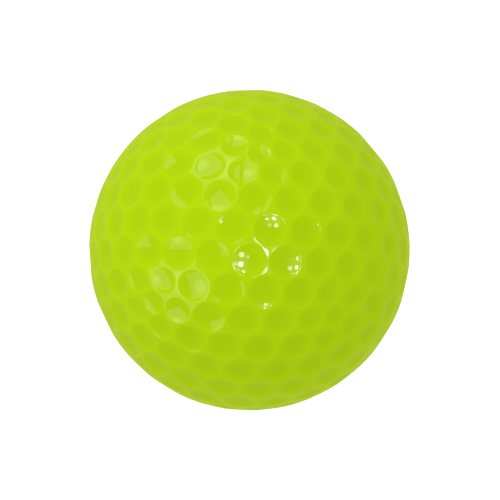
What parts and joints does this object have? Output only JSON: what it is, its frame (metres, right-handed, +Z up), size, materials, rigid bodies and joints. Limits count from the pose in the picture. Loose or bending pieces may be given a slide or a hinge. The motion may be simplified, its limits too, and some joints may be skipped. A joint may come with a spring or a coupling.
{
  "type": "golf ball",
  "caption": "Round dimpled ball of three bonded layers: a solid rubber core, a mantle and a glossy lime cover.",
  "frame": {"origin": "centre of the ball", "axes": "+Z up and -Y towards the viewer, as the ball lies in the picture; the dimple pattern's pole points forwards, to the left and a little down"},
  "size_m": [0.0426, 0.0426, 0.0426],
  "materials": {
    "cover": "opaque lime ionomer under a clear gloss coat",
    "mantle": "as moulded, pale",
    "core": "as moulded, matt"
  },
  "bodies": {
    "root": {"cover_half_front": "cover", "cover_half_rear": "cover", "mantle_half_front": "mantle", "mantle_half_rear": "mantle", "core": "core"}
  },
  "joints": []
}
